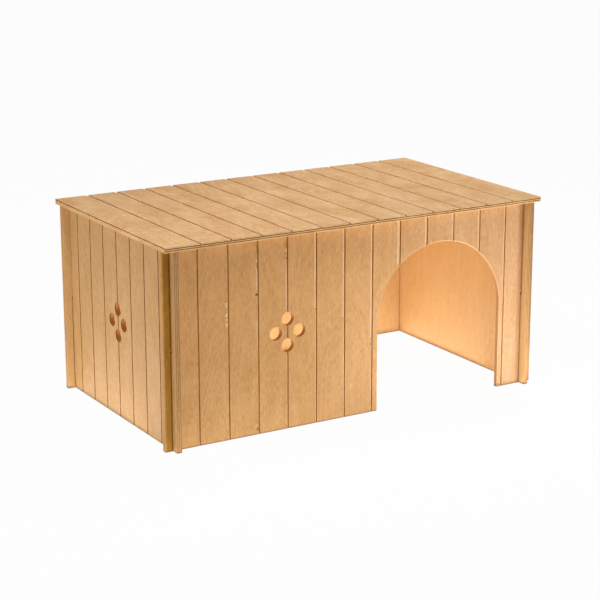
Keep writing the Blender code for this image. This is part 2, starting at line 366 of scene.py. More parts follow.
class Surface:
    """A material or world being made: its node tree and the one method that adds any node to it."""

    def __init__(self, owner, shader="Principled BSDF"):
        owner.use_nodes = True
        self.owner = owner
        self.tree = owner.node_tree
        self.shader = self.tree.nodes[shader]

    def node(self, kind, settings=None, values=None, output=0):
        """Adds a node: its settings first, then its sockets' values or links. Gives one of its outputs."""
        node = self.tree.nodes.new(kind)
        for name, setting in (settings or {}).items():
            setattr(node, name, setting)
        self.feed(node, values or {})
        return Wire(self, node.outputs[output])

    def feed(self, node, values):
        """Links wires to a node's sockets, or sets the sockets' own values."""
        for key, value in values.items():
            socket = node.inputs[key]
            if isinstance(value, Wire):
                self.tree.links.new(value.socket, socket)
            elif isinstance(value, (int, float)) and hasattr(socket.default_value, "__len__"):
                socket.default_value = [value] * len(socket.default_value)
            else:
                socket.default_value = value

    def mix(self, first, second, share):
        """One colour going over to another by a share."""
        values = {0: share, 6: opaque(first), 7: opaque(second)}
        return self.node("ShaderNodeMix", {"data_type": "RGBA"}, values, output=2)

    def tinted(self, colour, tint, share):
        """A colour that a tint multiplies by a share."""
        return self.mix(colour, colour * tint, share)

    def vector(self, x, y, z):
        return self.node("ShaderNodeCombineXYZ", values={0: x, 1: y, 2: z})

    def noise(self, spot, cell, shift=0.0, detail=2.0, roughness=0.5, distortion=0.0):
        """Soft noise between about 0.2 and 0.8, with cells of a given size along each part of the spot."""
        x, y, z = (part / size for part, size in zip(spot, cell))
        values = {"Vector": self.vector(x, y + shift, z), "Scale": 1.0}
        values.update({"Detail": detail, "Roughness": roughness, "Distortion": distortion})
        return self.node("ShaderNodeTexNoise", {"noise_dimensions": "3D"}, values)

    def spot(self, place=None):
        """The three parts of the Object coordinates in millimetres, in a sheet's own frame if it is given."""
        spot = self.node("ShaderNodeTexCoord", output="Object")
        if place is not None:
            values = {"Vector": spot, "Location": place.to_translation(), "Rotation": place.to_euler()}
            spot = self.node("ShaderNodeMapping", {"vector_type": "TEXTURE"}, values)
        parts = self.node("ShaderNodeSeparateXYZ", values={0: spot}).socket.node.outputs
        return [Wire(self, part) * PER_METRE for part in parts]

    def coat(self, colour, roughness, height, strength=WOOD_STRENGTH, relief=WOOD_RELIEF):
        """Feeds the shader its colour, its roughness and a bump made from a height."""
        values = {"Strength": strength, "Distance": relief, "Height": height}
        bump = self.node("ShaderNodeBump", values=values)
        self.feed(self.shader, {"Base Color": colour, "Roughness": roughness, "Normal": bump})


def opaque(colour):
    """A colour with full alpha where it is a plain triple."""
    if isinstance(colour, Wire) or len(colour) == 4:
        return colour
    return (*colour, 1.0)


# The woods

# Veneers of the sheet in millimetres: thin faces and five inner plies, the grain turned from one to the next
FACE_PLY = 0.5
INNER_PLY = 1.1
INNER_FACE = FACE_PLY + 5 * INNER_PLY
INNER_SOFTNESS = 0.1
GLUE_LINE = 0.07

# Cells of the birch's noises in millimetres: across the grain, into the sheet and along the grain
BAND_CELL = (13.0, 6.0, 300.0)
STREAK_CELL = (2.4, 2.0, 45.0)
FIBRE_CELL = (0.6, 0.8, 7.0)
PORE_CELL = (1.3, 1.5, 8.5)
FIGURE_CELL = (70.0, 4.0, 260.0)
MOTTLE_CELL = (42.0, 9.0, 60.0)
RIPPLE_CELL = (16.0, 9.0, 7.0)
SPLINTER_CELL = (2.5, 0.3, 0.9)

# How close the lines of the face's figure run, and how far the streaks push them
FIGURE_LINES = 110.0
FIGURE_PUSH = 2.0

# Darker grain is warmer too: how much further green and blue swing than red
GREEN_SWING = 1.65
BLUE_SWING = 2.9

# Smooth steps of a noise: its value at their start and end
OPEN_PORES = (0.56, 0.72)
WARM_PATCHES = (0.35, 0.65)

# Smooth steps of the depth below the face in millimetres
LEVEL_ENDS = (0.9, 1.5)
LEVEL_MIDDLE = (3.0, 3.6)
LEVEL_INNER = (4.7, 5.7)
CROSSED_ENDS = (1.5, 2.9)
LONG_EDGE = (0.3, 0.6)
BARE_ARRIS = (0.5, 0.75)
GROOVE_WALL = (1.4, 1.5)
GROOVE_FLOOR = (0.9, 1.3, 1.7, 2.1)

# Smooth steps of how squarely a spot faces out of the sheet, and of how far its fibres are cut across
FLAT = (0.8, 0.95)
STEEP = (0.3, 0.8)
CUT_ACROSS = (0.05, 0.95)

# Painted light and shade of the front in millimetres: painted shade on its left tail and in the creases
# beside the side walls, a paler tone with painted light towards the doorway, and painted shade at its foot,
# measured from its left tail, a side wall's left face, its middle and its foot
TAIL_SHADE_START = (0.8, 2.0)
TAIL_SHADE_END = (-1.0, 0.0)
LEFT_CREASE_SHADE = (-2.0, -1.2, 0.0, 0.5)
RIGHT_CREASE_SHADE = (-2.4, -1.4)
FAR_BOARDS_TONE_AND_LIGHT = (-120.0, 240.0)
FRONT_FOOT_SHADE = (0.0, 190.0)

# Knots and the painted shade dots at the slots' ends: how deep they lie in millimetres, and where their halo
# and core fade, with 1 at the mark's rim
KNOT_AND_GAP_SHADE_DEPTH = 1.0
HALO_EDGE = (1.0, 3.5)
CORE_EDGE = (0.55, 1.1)

# How strongly the parts of a panel's grain, marks and cut edges show
VENEER = {
    "bands": 0.09,
    "streaks": 0.16,
    "fibres": 0.62,
    "pores": 0.07,
    "figure": 0.022,
    "ripple": 0.07,
    "mottle": 0.13,
    "inner_calm": 0.4,
    "halo": 0.3,
    # Strengths of the painted shade in the creases beside the side walls
    "left_crease_shade": 0.7,
    "right_crease_shade": 0.6,
    "end_fibres": 0.4,
    "end_fade": 0.15,
    "level_middle_fade": 0.3,
    "level_inner_fade": 0.9,
    "glue": 0.5,
    "splinters": 0.5,
    "bare_arris": 0.0,
    "groove_reach": 0.0,
    "edge_tint": (1.0, 1.0, 1.0),
    # Whether the front's painted light and shade are laid on
    "front_marks": False,
}

# Satin of the sanded birch: its roughness, what streaks and cut ends add to it, and the heights of its bump
BIRCH_ROUGHNESS = 0.50
STREAK_ROUGHNESS = 0.16
END_ROUGHNESS = 0.12
STREAK_HEIGHT = 0.5
FIBRE_HEIGHT = 0.35
PORE_DEPTH = 0.5
BIRCH_SHINE = 0.12


def look_of(context, panel, **changes):
    """The colours and strengths that one kind of panel's veneer is made with."""
    finish = context.scene.rabbit_house_finish
    look = {name: tuple(getattr(finish, name)) for name in RabbitHouseFinish.__annotations__}
    kind = "roof" if panel == "roof" else "wall"
    look.update(
        VENEER,
        colour=look[f"{panel}_colour"],
        warm_colour=look[f"{panel}_warm"],
        end_tint=look[f"{kind}_end_tint"],
        groove_tint=look[f"{kind}_groove_tint"],
    )
    look.update(changes)
    return look


def facings(surface, place):
    """How squarely the surface faces along each of the sheet's own axes."""
    normal = surface.node("ShaderNodeNewGeometry", output="True Normal")
    kind = {"operation": "DOT_PRODUCT"}
    axes = place.to_3x3().col
    return [abs(surface.node("ShaderNodeVectorMath", kind, {0: normal, 1: axis}, "Value")) for axis in axes]


def with_front_marks(surface, face, look, x, z):
    """Painted shade on the left tail and in the creases beside both side walls, a paler tone with painted
    light towards the doorway, and painted shade towards the foot.
    """
    from_tail = x + FRONT.half_row * PER_METRE
    from_left = x - LEFT.outer * PER_METRE
    from_right = x + (LEFT.outer + LEFT.thickness) * PER_METRE
    # Painted shade: the left tail's outer face darkened where the side wall's tail shades it
    face = surface.tinted(face, look["tail_tint"], from_tail.rise(*TAIL_SHADE_START) * from_left.fall(*TAIL_SHADE_END))
    # Painted shade: dark lines in the creases where the side walls meet the front
    left_crease_shade = from_left.between(*LEFT_CREASE_SHADE) * look["left_crease_shade"]
    right_crease_shade = from_right.rise(*RIGHT_CREASE_SHADE) * look["right_crease_shade"]
    face = surface.tinted(face, look["crease_tint"], left_crease_shade + right_crease_shade)
    # Partly painted light: the boards towards the doorway paler, as if lit more, and partly the veneer's own
    # tone
    face = surface.tinted(face, look["far_tint"], x.rise(*FAR_BOARDS_TONE_AND_LIGHT))
    # Painted shade: the front darker towards its foot
    return surface.tinted(face, look["foot_tint"], z.fall(*FRONT_FOOT_SHADE))


def with_knots_and_gap_shade(surface, wood, look, knots_and_gap_shade, x, depth, z):
    """Lays a dark pin knot with a pale, soft halo into the face veneer for each mark, and in the same way the
    dark dots of painted shade at the slots' ends.
    """
    near_face = depth.below(KNOT_AND_GAP_SHADE_DEPTH)
    for row_place, height, width, tall, darkness in knots_and_gap_shade:
        away_x = (x - row_place) / width
        away_z = (z - height) / tall
        away = (away_x * away_x + away_z * away_z) ** 0.5
        wood = surface.mix(wood, look["halo_colour"], away.fall(*HALO_EDGE) * look["halo"] * near_face)
        wood = surface.mix(wood, look["knot_colour"], away.fall(*CORE_EDGE) * darkness * near_face)
    return wood


def end_share(look, depth, crossed, level, facing_x, facing_z):
    """How far the fibres are cut across at an edge: the plies nearest the face show it most."""
    middle_fade = 1.0 - depth.rise(*LEVEL_MIDDLE) * look["level_middle_fade"]
    inner_fade = 1.0 - depth.rise(*LEVEL_INNER) * look["level_inner_fade"]
    level_ends = facing_z * level * depth.rise(*LEVEL_ENDS) * middle_fade * inner_fade
    crossed_ends = facing_x * crossed * (1.0 - depth.rise(*CROSSED_ENDS) * look["end_fade"])
    return (level_ends + crossed_ends).rise(*CUT_ACROSS)


def birch(name, place, look, seed, knots_and_gap_shade=(), laid_bare=None, share=0.0):
    """Birch plywood: figured face veneer, crossed plies at every edge, darker where fibres are cut across."""
    surface = Surface(bpy.data.materials.new(name))
    x, depth, z = surface.spot(place)
    facing_x, facing_y, facing_z = facings(surface, place)
    crossed = (depth - FACE_PLY).modulo(2 * INNER_PLY).below(INNER_PLY)
    level = 1.0 - crossed

    grain = (x * level + z * crossed, depth, z * level + x * crossed)
    bands = surface.noise(grain, BAND_CELL, seed)
    streaks = surface.noise(grain, STREAK_CELL, seed, detail=3.0)
    fibres = surface.noise(grain, FIBRE_CELL, seed)
    pores = surface.noise(grain, PORE_CELL, seed, detail=1.0).rise(*OPEN_PORES)

    sheet = (x, depth, z)
    field = surface.noise(sheet, FIGURE_CELL, seed, detail=1.0, distortion=0.5)
    figure = (field * FIGURE_LINES + (streaks - 0.5) * FIGURE_PUSH).sine()
    mottle = surface.noise(sheet, MOTTLE_CELL, seed * 2.0, detail=3.0, roughness=0.6)
    ripple = surface.noise(sheet, RIPPLE_CELL, seed * 3.0)

    swing = figure * look["figure"] - pores * look["pores"] + (bands - 0.5) * look["bands"]
    swing = swing + (streaks - 0.5) * look["streaks"] + (fibres - 0.5) * look["fibres"]
    swing = swing + (ripple - 0.5) * look["ripple"] + (mottle - 0.5) * look["mottle"]
    inner_face = depth.rise(INNER_FACE - INNER_SOFTNESS, INNER_FACE + INNER_SOFTNESS)
    swing = swing * (1.0 - inner_face * look["inner_calm"])

    face = surface.mix(look["colour"], look["warm_colour"], mottle.rise(*WARM_PATCHES))
    face = surface.mix(face, look["inner_colour"], inner_face)
    # The front's painted shade on its tail, creases and foot, and its paler tone with painted light towards
    # the doorway
    if look["front_marks"]:
        face = with_front_marks(surface, face, look, x, z)
    tone = surface.vector(1.0 + swing, 1.0 + swing * GREEN_SWING, 1.0 + swing * BLUE_SWING)
    wood = with_knots_and_gap_shade(surface, face * tone, look, knots_and_gap_shade, x, depth, z)

    ends = end_share(look, depth, crossed, level, facing_x, facing_z)
    end_tone = 1.0 + (fibres - 0.5) * look["end_fibres"]
    wood = surface.mix(wood, wood * look["end_tint"] * end_tone, ends)
    # The cutter's heat on the grooves' floors; on the roof the tint also brightens the shaded floors as
    # painted light
    wood = surface.tinted(wood, look["groove_tint"], depth.between(*GROOVE_FLOOR) * facing_y.rise(*FLAT))

    edge = facing_y.fall(*STEEP)
    # Tint of the long-grain plies on a cut edge: the fibres' own colour on the roof, painted shade on the
    # doorway's reveal
    wood = surface.tinted(wood, look["edge_tint"], edge * (1.0 - ends) * depth.rise(*LONG_EDGE))
    if look["groove_reach"]:
        groove_wall = edge * depth.fall(*GROOVE_WALL) * abs(x).below(look["groove_reach"])
        wood = surface.tinted(wood, look["groove_wall_tint"], groove_wall)

    seam = abs((depth - FACE_PLY + INNER_PLY / 2).modulo(INNER_PLY) - INNER_PLY / 2)
    glue = seam.fall(GLUE_LINE * 0.5, GLUE_LINE * 1.5) * edge
    wood = surface.tinted(wood, look["glue_tint"], glue * look["glue"])

    if look["bare_arris"]:
        wood = surface.mix(wood, look["torn_colour"], depth.fall(*BARE_ARRIS) * look["bare_arris"])
    if laid_bare:
        splinters = surface.noise(sheet, SPLINTER_CELL, seed)
        wood = surface.mix(wood, laid_bare, share) * (1.0 + (splinters - 0.5) * look["splinters"])

    roughness = BIRCH_ROUGHNESS + (streaks - 0.5) * STREAK_ROUGHNESS + ends * END_ROUGHNESS
    surface.coat(wood, roughness, streaks * STREAK_HEIGHT + fibres * FIBRE_HEIGHT - pores * PORE_DEPTH)
    surface.shader.inputs["Specular IOR Level"].default_value = BIRCH_SHINE
    return surface.owner


# Settings

def number(name, description, default, **limits):
    return FloatProperty(name=name, description=description, default=default, **limits)


def length(name, description, default):
    return number(name, description, default, min=0.0, unit="LENGTH")


def count(name, description, default):
    return IntProperty(name=name, description=description, default=default)


def colour(name, description, default, most=1.0):
    return FloatVectorProperty(
        name=name, description=description, default=default, size=3, min=0.0, max=most, subtype="COLOR"
    )


class RabbitHousePanels(bpy.types.PropertyGroup):
    """Sizes of the five plywood panels."""

    long_grooves: count("Long Grooves", "Grooves across the front, back and roof", 12)
    side_grooves: count("Side Grooves", "Grooves across each side panel", 7)
    long_end_board: length("Long End Board", "Roof's end to its first groove", 45 * MM)
    wall_end_board: length("Wall End Board", "Roof's end to the first groove of the front", 46.2 * MM)
    side_end_board: length("Side End Board", "Roof's edge to a side panel's first groove", 40.5 * MM)
    groove_width: length("Groove Width", "Width of the roof's and sides' grooves", 1.8 * MM)
    wall_groove_width: length("Wall Groove Width", "Width of the front's and back's grooves", 1.55 * MM)
    groove_depth: length("Groove Depth", "Depth of a groove", 1.5 * MM)
    groove_arris: length("Groove Arris", "Chamfer along a groove's two edges", 0.12 * MM)
    ragged: length("Ragged Grooves", "How far a groove's edges wander", 0.10 * MM)
    edge_round: length("Edge Round", "Rounding of a panel's edges", 0.4 * MM)
    door_arris: length("Door Arris", "Chamfer round the doorway", 0.8 * MM)
    vent_arris: length("Vent Arris", "Chamfer round a vent", 0.2 * MM)
    door_board: count("Door Board", "Board that the doorway is centred on, from 0", 9)
    door_width: length("Door Width", "Width of the doorway", 184 * MM)
    door_head: length("Door Head", "Wood left above the doorway", 35.5 * MM)
    vent_groove: count("Vent Groove", "Groove that the vents stand about, from 0", 3)
    vent_radius: length("Vent Radius", "Radius of a vent hole", 8.35 * MM)
    vent_rise: length("Vent Rise", "How far above half height the four vents stand", 1.1 * MM)
    vent_offset: length("Vent Offset", "Middle of the four vents to a vent's centre", 16.3 * MM)
    slot_clearance: length("Slot Clearance", "Room at each side of a crossing panel", 0.8 * MM)
    slot_end_gap: length("Slot End Gap", "Room between two slots' ends", 2.0 * MM)
    torn_depth: length("Torn Depth", "Depth of the veneer torn out beside a groove", 0.6 * MM)
    worn_depth: length("Worn Depth", "How far a worn edge slopes down to its groove", 0.5 * MM)
    filled_depth: length("Filled Depth", "How far the filler in a torn edge lies below the face", 0.15 * MM)
    exit_width: length("Exit Width", "Width of the chip where a roof groove runs out at the rear", 4.6 * MM)
    exit_shift: length("Exit Shift", "How far left of its groove that chip sits", 2.0 * MM)
    exit_narrow: length("Exit Narrow End", "Width of that chip at its inner end", 3.4 * MM)
    exit_length: length("Exit Length", "Length of that chip along the groove", 4.8 * MM)
    exit_depth: length("Exit Depth", "Depth of that chip", 2.7 * MM)


class RabbitHouseFixings(bpy.types.PropertyGroup):
    """Sizes of the roof battens and their screws."""

    batten_round: length("Batten Round", "Rounding of a batten's long edges", 1.2 * MM)
    screw_clearance: length("Screw Clearance", "Room round a screw in its batten", 0.3 * MM)
    shank_radius: length("Shank Radius", "Outer radius of the thread", 1.5 * MM)
    thread_depth: length("Thread Depth", "Depth of the thread", 0.38 * MM)
    thread_pitch: length("Thread Pitch", "Rise of the thread in one turn", 1.3 * MM)
    head_height: length("Head Height", "Height of a screw's countersunk head", 1.6 * MM)
    head_rim: length("Head Rim", "Height of the straight rim of a head", 0.3 * MM)
    recess_span: length("Recess Span", "Width across a head's cross recess", 3.2 * MM)
    recess_width: length("Recess Width", "Width of one bar of the recess", 0.7 * MM)
    recess_depth: length("Recess Depth", "Depth of the recess", 1.0 * MM)
    point_length: length("Point Length", "Length of a screw's point", 2.4 * MM)


class RabbitHouseFinish(bpy.types.PropertyGroup):
    """Colours of the woods and the steel."""

    front_colour: colour("Front", "Front and back face veneer", (0.750, 0.394, 0.141))
    front_warm: colour("Front Warm", "Warmer patches of the front's veneer", (0.770, 0.408, 0.150))
    side_colour: colour("Sides", "Side panels' face veneer", (0.64, 0.366, 0.146))
    side_warm: colour("Sides Warm", "Warmer patches of the sides' veneer", (0.65, 0.374, 0.154))
    inner_colour: colour("Inside", "Veneer of the panels' inner faces", (0.66, 0.412, 0.180))
    # Painted shade on the front's left tail, where the side wall's tail shades it
    tail_tint: colour("Tail Painted Shade", "Painted shade on the front's left tail beside the side wall", (0.76, 0.72, 0.25))
    # Painted shade in the creases beside the side walls
    crease_tint: colour("Crease Shade", "Painted shade in the crease beside a crossing wall", (0.45, 0.32, 0.12))
    # Partly the veneer's tone and partly painted light on the boards towards the doorway
    far_tint: colour("Far Boards Tone And Light", "Paler tone of the front towards the doorway, partly painted light", (0.97, 1.03, 1.32), 2.0)
    # Painted shade darkening the front towards its foot
    foot_tint: colour("Foot", "Painted shade darkening the front towards its foot", (0.85, 0.90, 0.97))
    roof_colour: colour("Roof", "Roof's face veneer", (0.68, 0.412, 0.204))
    roof_warm: colour("Roof Warm", "Warmer patches of the roof's veneer", (0.70, 0.424, 0.206))
    wall_end_tint: colour("Wall End Grain", "What cut fibres leave of a wall's colour", (0.72, 0.60, 0.46))
    roof_end_tint: colour("Roof End Grain", "What cut fibres leave of the roof's colour", (0.36, 0.16, 0.04))
    roof_edge_tint: colour("Roof Edge", "Change of fibres laid bare along the edge", (1.38, 1.45, 1.30), 2.0)
    # Painted shade on the doorway's reveal, which faces away from the lamps
    reveal_tint: colour("Reveal", "Painted shade on the doorway's reveal", (0.62, 0.50, 0.36))
    glue_tint: colour("Glue Line", "What the glue leaves of the wood's colour", (0.55, 0.46, 0.36))
    # Partly painted light: above 1, it lifts the shaded roof grooves, besides the heat's brown
    roof_groove_tint: colour("Roof Grooves", "What the cutter's heat leaves; on the roof also painted light lifting the grooves' shade", (1.50, 1.00, 0.60), 2.0)
    wall_groove_tint: colour("Wall Grooves", "What the cutter's heat leaves; on the roof also painted light lifting the grooves' shade", (1.02, 0.84, 0.40), 2.0)
    groove_wall_tint: colour("Groove Walls", "What the heat leaves in the sides' grooves", (0.66, 0.34, 0.10))
    torn_colour: colour("Torn Wood", "Fresh wood where the face has torn out", (0.98, 0.71, 0.36))
    worn_colour: colour("Worn Wood", "Paler wood along a groove's worn edge", (0.92, 0.64, 0.36))
    filled_colour: colour("Filler", "Old glue and filler in a torn edge", (0.48, 0.26, 0.05))
    # Also the colour of the painted shade dots at the slots' ends
    knot_colour: colour("Knots", "Heart of a pin knot, and the painted shade of the slots' end gaps", (0.095, 0.032, 0.003))
    halo_colour: colour("Knot Halo", "Pale wood round a pin knot", (0.80, 0.50, 0.25))
    batten_colour: colour("Battens", "Softwood of the battens", (0.72, 0.50, 0.27))
    ring_colour: colour("Batten Rings", "Late wood of the battens' rings", (0.52, 0.28, 0.11))
    steel_colour: colour("Screws", "Zinc plating of the screws", (0.62, 0.60, 0.56))
    cloud_colour: colour("Screw Clouds", "Duller patches of the zinc", (0.40, 0.39, 0.37))


class RabbitHouseStage(bpy.types.PropertyGroup):
    """Floor, lamps and camera."""

    floor_reach: length("Floor Reach", "Half the width of the floor", 12.0)
    floor_colour: colour("Floor", "Plain pale floor", (0.86, 0.86, 0.86))
    floor_glow: number("Floor Glow", "How white the camera sees the floor", 0.975, min=0.0, max=1.0)
    ambient: number("Ambient", "Strength of the room's light", 0.0, min=0.0)
    light_level: number("Light Level", "Factor on every lamp's power", 1.0, min=0.0)
    camera_place: FloatVectorProperty(
        name="Camera Place",
        description="Where the camera stands",
        default=(-1.13251, -1.90484, 0.72246),
        size=3,
        unit="LENGTH",
    )
    camera_yaw: number("Yaw", "Turn to the right of the front's square view", 0.537181, subtype="ANGLE")
    camera_pitch: number("Pitch", "How far the camera looks down", 0.268535, subtype="ANGLE")
    camera_roll: number("Roll", "Camera's turn about its own axis", -0.001786, subtype="ANGLE")
    camera_lens: number("Lens", "Focal length in millimetres", 107.753)


# Panels

class Sheet:
    """A plywood panel as the packed model places it, with its own frame on its outer face."""

    def __init__(self, node, turn):
        spin = Euler(turn).to_matrix()
        corners = product(*zip(*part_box(node)))
        rows, depths, heights = zip(*(spin.transposed() @ Vector(corner) for corner in corners))
        self.node = node
        self.half_row = max(rows)
        self.outer = min(depths)
        self.thickness = max(depths) - self.outer
        self.low = min(heights)
        self.high = max(heights)
        self.place = Matrix.Translation(spin @ Vector((0.0, self.outer, 0.0))) @ spin.to_4x4()


FRONT = Sheet("front_panel", (0.0, 0.0, 0.0))
BACK = Sheet("back_panel", (0.0, 0.0, math.pi))
LEFT = Sheet("left_side_panel", (0.0, 0.0, -QUARTER))
RIGHT = Sheet("right_side_panel", (0.0, 0.0, QUARTER))
ROOF = Sheet("roof_panel", (-QUARTER, 0.0, 0.0))

# How far a chip's cutter reaches into its groove, and how far off its size a roof chip may be, in millimetres
GROOVE_LAP = 0.2 * MM
EXIT_SIDEWAYS = (-0.1, 0.1)
EXIT_ENDWAYS = (-0.5, 0.3)

# Torn veneer on the reveal's arris, and how far in from a side panel's ends its grooves' own colour starts
REVEAL_ARRIS = 0.4
PANEL_END = 2 * MM


def groove_rows(sheet, sizes):
    """Places of a sheet's grooves along its row: end boards of one width and equal boards between."""
    if sheet in (LEFT, RIGHT):
        half_span, end_board, total = ROOF.high, sizes.side_end_board, sizes.side_grooves
    else:
        end_board = sizes.long_end_board if sheet is ROOF else sizes.wall_end_board
        half_span, total = ROOF.half_row, sizes.long_grooves
    pitch = 2 * (half_span - end_board) / (total - 1)
    return [end_board - half_span + pitch * index for index in range(total)]


def groove_cutters(sheet, sizes, material, seed):
    """One straight groove with a broken, slightly ragged arris, copied to every place of the row."""
    half = (sizes.wall_groove_width if sheet in (FRONT, BACK) else sizes.groove_width) / 2
    low = (-half, -OVERRUN, sheet.low - OVERRUN)
    high = (half, sizes.groove_depth, sheet.high + OVERRUN)
    first = block("groove_cutter", low, high, material)
    break_arris(first, 0.0, -1, sizes.groove_arris, (0.0, 0.0, 0.0), half, along_z=False)
    with editing(first):
        pick_edges_along(first, 2)
        bpy.ops.mesh.subdivide(number_cuts=GROOVE_CUTS)
    cutters = []
    for index, row in enumerate(groove_rows(sheet, sizes)):
        cutter = copied(first, "groove_cutter", (row, 0.0, 0.0))
        chance = random.Random(seed * 100 + index)
        for vertex in cutter.data.vertices:
            vertex.co.x += chance.uniform(-sizes.ragged, sizes.ragged)
        cutters.append(cutter)
    bpy.data.objects.remove(first)
    return joined(cutters)


def cut_slots(piece, sheet, sizes, material):
    """The two half-height slots that the crossing panels drop into: front and back have theirs below."""
    from_below = sheet in (FRONT, BACK)
    crossing = LEFT if from_below else FRONT
    lap = sheet.high / 2
    overlap = sizes.slot_end_gap / 2
    low = sheet.low - OVERRUN if from_below else lap - overlap
    high = lap + overlap if from_below else sheet.high + OVERRUN
    near = -crossing.outer - crossing.thickness - sizes.slot_clearance
    far = -crossing.outer + sizes.slot_clearance
    for side in (-1, 1):
        left, right = sorted((side * near, side * far))
        cut(piece, block("slot", (left, -OVERRUN, low), (right, sheet.thickness + OVERRUN, high), material))


def cut_vents(piece, sheet, sizes, material):
    """Four round vents in a diamond about one groove, half way up."""
    row = groove_rows(sheet, sizes)[sizes.vent_groove]
    middle = sheet.high / 2 + sizes.vent_rise
    depth = sheet.thickness + 2 * OVERRUN
    for step_x, step_z in ((-1, 0), (1, 0), (0, -1), (0, 1)):
        x = row + step_x * sizes.vent_offset
        z = middle + step_z * sizes.vent_offset
        centre = (x, sheet.thickness / 2, z)
        vent = rod("vent", centre, sizes.vent_radius, depth, VENT_SIDES, material, (QUARTER, 0.0, 0.0))
        break_arris(vent, 0.0, -1, sizes.vent_arris, (x, 0.0, z), sizes.vent_radius)
        cut(piece, vent)


def cut_doorway(piece, sheet, sizes, material):
    """The arched doorway: a half round over straight jambs that run down to the floor."""
    rows = groove_rows(ROOF, sizes)
    centre_x = (rows[sizes.door_board - 1] + rows[sizes.door_board]) / 2
    radius = sizes.door_width / 2
    spring = sheet.high - sizes.door_head - radius
    centre = (centre_x, sheet.thickness / 2, spring)
    depth = sheet.thickness + 2 * OVERRUN
    door = rod("doorway", centre, radius, depth, DOOR_SIDES, material, (QUARTER, 0.0, 0.0))
    with editing(door):
        bpy.ops.mesh.select_all(action="SELECT")
        bpy.ops.mesh.bisect(plane_co=centre, plane_no=(0.0, 0.0, 1.0), use_fill=True, clear_inner=True)
        pick_faces(door, lambda point: abs(point.z - spring) < TOUCH)
        drop = (0.0, 0.0, -spring - OVERRUN)
        bpy.ops.mesh.extrude_region_move(TRANSFORM_OT_translate={"value": drop})
    for face_y, outward in ((0.0, -1), (sheet.thickness, 1)):
        break_arris(door, face_y, outward, sizes.door_arris, (centre_x, 0.0, spring), radius)
    cut(piece, door)


def groove_edge_cutter(rows, sizes, place, depth, slope, ragged, material, seed):
    """Cutter for one ragged chip or strip of the face left of a groove, flat or sloping down to it."""
    groove, low, span, width = place
    right = rows[groove] - sizes.wall_groove_width / 2 + GROOVE_LAP
    left = rows[groove] - sizes.wall_groove_width / 2 - width * MM
    top = min((low + span) * MM, FRONT.high - TOUCH)
    tool = block("chip", (left, -OVERRUN, low * MM), (right, depth, top), material)
    with editing(tool):
        pick_edges_along(tool, 2)
        bpy.ops.mesh.subdivide(number_cuts=max(LEAST_CHIP_CUTS, round(span / CHIP_STEP)))
        if slope:
            pick_points(tool, lambda point: point.x < (left + right) / 2 and point.y > 0.0)
            bpy.ops.transform.translate(value=(0.0, TOUCH - depth, 0.0))
    chance = random.Random(seed)
    for vertex in tool.data.vertices:
        if vertex.co.x < (left + right) / 2:
            vertex.co.x += chance.uniform(-ragged, ragged) * width * MM
    return tool


def weather_grooves(piece, sizes, look):
    """Worn edges, filler and chips along the left edges of the front's grooves."""
    rows = groove_rows(FRONT, sizes)
    # Name, places, depth, whether it slopes, raggedness, and share of its own colour
    kinds = (
        ("worn", WORN_EDGES, sizes.worn_depth, True, 0.12, 0.7),
        ("filled", FILLED_STRIPS, sizes.filled_depth, False, 0.15, 0.75),
        ("torn", TORN_CHIPS, sizes.torn_depth, False, 0.22, 0.9),
    )
    for name, places, depth, slope, ragged, share in kinds:
        material = birch(f"{name}_birch", FRONT.place, look, 1, (), look[f"{name}_colour"], share)
        tools = [
            groove_edge_cutter(rows, sizes, place, depth, slope, ragged, material, seed)
            for seed, place in enumerate(places)
        ]
        cut(piece, joined(tools))


def chip_exits(piece, sheet, sizes, material):
    """Small chips where the cutter broke out at the rear ends of the roof's grooves."""
    chips = []
    for index, row in enumerate(groove_rows(sheet, sizes)):
        row -= sizes.exit_shift
        low = (row - sizes.exit_width / 2, -OVERRUN, sheet.high - sizes.exit_length)
        high = (row + sizes.exit_width / 2, sizes.exit_depth, sheet.high + OVERRUN)
        chip = block("exit_chip", low, high, material)
        chance = random.Random(index)
        with editing(chip):
            pick_points(chip, lambda point: point.z < sheet.high)
            narrow = (sizes.exit_narrow / sizes.exit_width, 1.0, 1.0)
            bpy.ops.transform.resize(value=narrow, center_override=(row, 0.0, 0.0))
        for vertex in chip.data.vertices:
            if vertex.co.z < sheet.high:
                vertex.co.x += chance.uniform(*EXIT_SIDEWAYS) * MM
                vertex.co.z += chance.uniform(*EXIT_ENDWAYS) * MM
        chips.append(chip)
    cut(piece, joined(chips))


def panel_piece(name, sheet, sizes, seed, look, knots_and_gap_shade=()):
    """A blank sheet with rounded edges and its grooves, in its local frame."""
    wood = birch(name + "_birch", sheet.place, look, seed, knots_and_gap_shade)
    low = (-sheet.half_row, 0.0, sheet.low)
    piece = block(name, low, (sheet.half_row, sheet.thickness, sheet.high), wood)
    round_edges(piece, sizes.edge_round, 2)
    cut(piece, groove_cutters(sheet, sizes, wood, seed))
    return piece, wood


def set_panel(piece, sheet, body):
    """Puts a panel in its place and hands it over."""
    merge_doubles(piece)
    piece.matrix_world = sheet.place
    settle(piece)
    finish_piece(piece, body, sheet.node)


